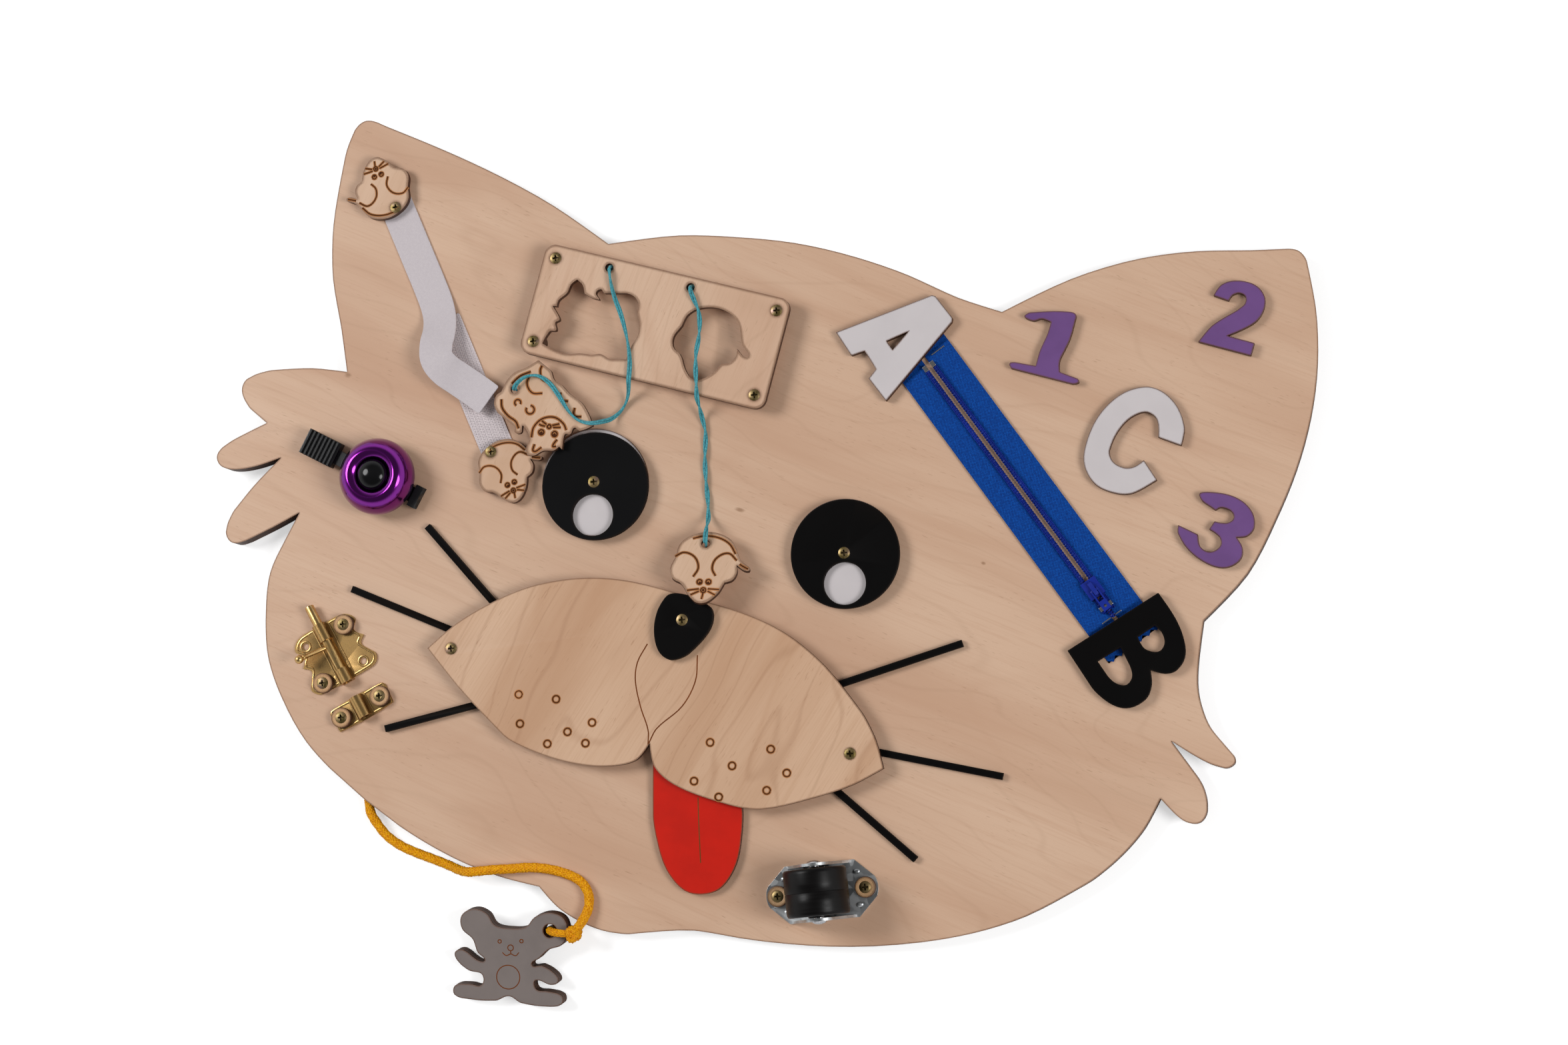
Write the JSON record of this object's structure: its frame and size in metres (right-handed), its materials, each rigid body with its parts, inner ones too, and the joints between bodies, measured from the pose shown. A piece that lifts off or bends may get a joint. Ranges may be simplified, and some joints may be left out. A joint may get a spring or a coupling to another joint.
{
  "type": "busy board",
  "caption": "Cat-shaped wooden busy board with turning eyes and nose, swinging tongue, zipper, strap, latch, bell, wheel, letters and lacing plate.",
  "frame": {"origin": "middle of the flat back of the board, on the table the board lies on", "axes": "+Z out of the face towards the user, +X to the right across the face, +Y up the face from the chin to the ears"},
  "size_m": [0.5627, 0.4793, 0.0456],
  "materials": {
    "birch": "sanded birch plywood",
    "birch_pale": "sanded thin birch plywood with burnt edges",
    "beech": "turned beech",
    "black_paint": "plywood painted satin black",
    "white_paint": "plywood painted white",
    "purple_paint": "plywood painted purple",
    "red_paint": "plywood painted red",
    "grey_paint": "plywood painted grey",
    "dark_stain": "dark stained plywood",
    "yellow_zinc": "yellow zinc plated steel",
    "brass_plate": "brass plated steel",
    "steel": "galvanised steel",
    "bell_purple": "purple anodised",
    "black_plastic": "moulded",
    "wheel_black": "turned, satin",
    "lace_teal": "waxed lacing cord",
    "rope_yellow": "braided rope",
    "tape_white": "hook and loop tape",
    "tape_blue": "woven zipper tape",
    "teeth_blue": "moulded teeth",
    "slider_blue": "painted die cast"
  },
  "bodies": {
    "board": {"base_board": "birch", "muzzle_plate": "birch", "muzzle_spacers": "beech", "whiskers_left": "black_paint", "whiskers_right": "black_paint", "eye_left_backing": "white_paint", "eye_right_backing": "white_paint", "eye_screws": "yellow_zinc", "face_screws": "yellow_zinc", "lacing_plate": "birch_pale", "lacing_spacers": "beech", "lacing_screws": "yellow_zinc", "lacing_knots": "lace_teal", "kitten_cord": "lace_teal", "mouse_cord": "lace_teal", "strap_loop_tape": "tape_white", "strap_hook_tape": "tape_white", "mouse_clamp_upper": "birch_pale", "mouse_clamp_lower": "birch_pale", "clamp_screws": "yellow_zinc", "letter_a": "white_paint", "letter_b": "black_paint", "letter_c": "white_paint", "digit_1": "purple_paint", "digit_2": "purple_paint", "digit_3": "purple_paint", "zipper_tape_left": "tape_blue", "zipper_tape_right": "tape_blue", "zipper_teeth_left": "teeth_blue", "zipper_teeth_right": "teeth_blue", "zipper_stops": "steel", "zipper_staples": "steel", "bell_base": "black_plastic", "bell_dome": "bell_purple", "bell_cap": "black_plastic", "bell_pin": "steel", "bell_spring": "steel", "bell_screw": "yellow_zinc", "latch_plate": "brass_plate", "latch_keeper": "brass_plate", "ring_washers": "beech", "fitting_screws": "yellow_zinc", "caster_fork": "steel", "caster_axle": "steel", "pull_cord": "rope_yellow", "toy_loop": "rope_yellow", "toy_front": "grey_paint", "toy_back": "dark_stain"},
    "nose": {"nose_disc": "black_paint"},
    "tongue_flap": {"tongue": "red_paint"},
    "eye_left": {"eye_left_disc": "black_paint"},
    "eye_right": {"eye_right_disc": "black_paint"},
    "kitten": {"kitten_pendant": "birch_pale"},
    "mouse": {"mouse_pendant": "birch_pale"},
    "slider": {"zipper_slider": "slider_blue"},
    "pull_tab": {"zipper_pull": "slider_blue"},
    "bell_thumb": {"bell_lever": "black_plastic"},
    "bolt": {"latch_bolt": "brass_plate", "latch_knob": "brass_plate"},
    "wheel": {"caster_wheel": "wheel_black"}
  },
  "joints": [
    {"name": "nose_spin", "type": "hinge", "parent": "board", "child": "nose", "pos_m": [-0.0092, -0.0477, 0.02], "axis": [0, 0, 1], "continuous": true},
    {"name": "eye_left_spin", "type": "hinge", "parent": "board", "child": "eye_left", "pos_m": [-0.0749, 0.0107, 0.0145], "axis": [0, 0, 1], "continuous": true},
    {"name": "eye_right_spin", "type": "hinge", "parent": "board", "child": "eye_right", "pos_m": [0.0629, 0.0066, 0.0145], "axis": [0, 0, 1], "continuous": true},
    {"name": "tongue_swing", "type": "hinge", "parent": "board", "child": "tongue_flap", "pos_m": [-0.0092, -0.0477, 0.012], "axis": [0, 0, 1], "range_deg": [-50, 5]},
    {"name": "kitten_swivel", "type": "hinge", "parent": "board", "child": "kitten", "pos_m": [-0.12817, 0.04752, 0.018], "axis": [0, 0, 1], "range_deg": [-12, 8]},
    {"name": "mouse_swivel", "type": "hinge", "parent": "board", "child": "mouse", "pos_m": [-0.00775, -0.0073, 0.0175], "axis": [0, 0.2588, 0.9659], "range_deg": [-8, 8]},
    {"name": "bell_thumb_swing", "type": "hinge", "parent": "board", "child": "bell_thumb", "pos_m": [-0.20022, -0.01544, 0.0145], "axis": [0, 0, 1], "range_deg": [0, 18], "stiffness_Nm_per_rad": 0.04},
    {"name": "bolt_slide", "type": "slide", "parent": "board", "child": "bolt", "axis": [0.6871, -0.7266, 0], "range_m": [0, 0.012]},
    {"name": "wheel_spin", "type": "hinge", "parent": "board", "child": "wheel", "pos_m": [0.0955, -0.164, 0.02935], "axis": [-0.3584, 0.9336, 0], "continuous": true},
    {"name": "zipper_slide", "type": "slide", "parent": "board", "child": "slider", "axis": [0.7716, -0.6361, 0], "range_m": [-0.135, 0]},
    {"name": "pull_flip", "type": "hinge", "parent": "slider", "child": "pull_tab", "pos_m": [0.19226, 0.01905, 0.0159], "axis": [0.6361, 0.7716, 0], "range_deg": [-140, 0]}
  ]
}
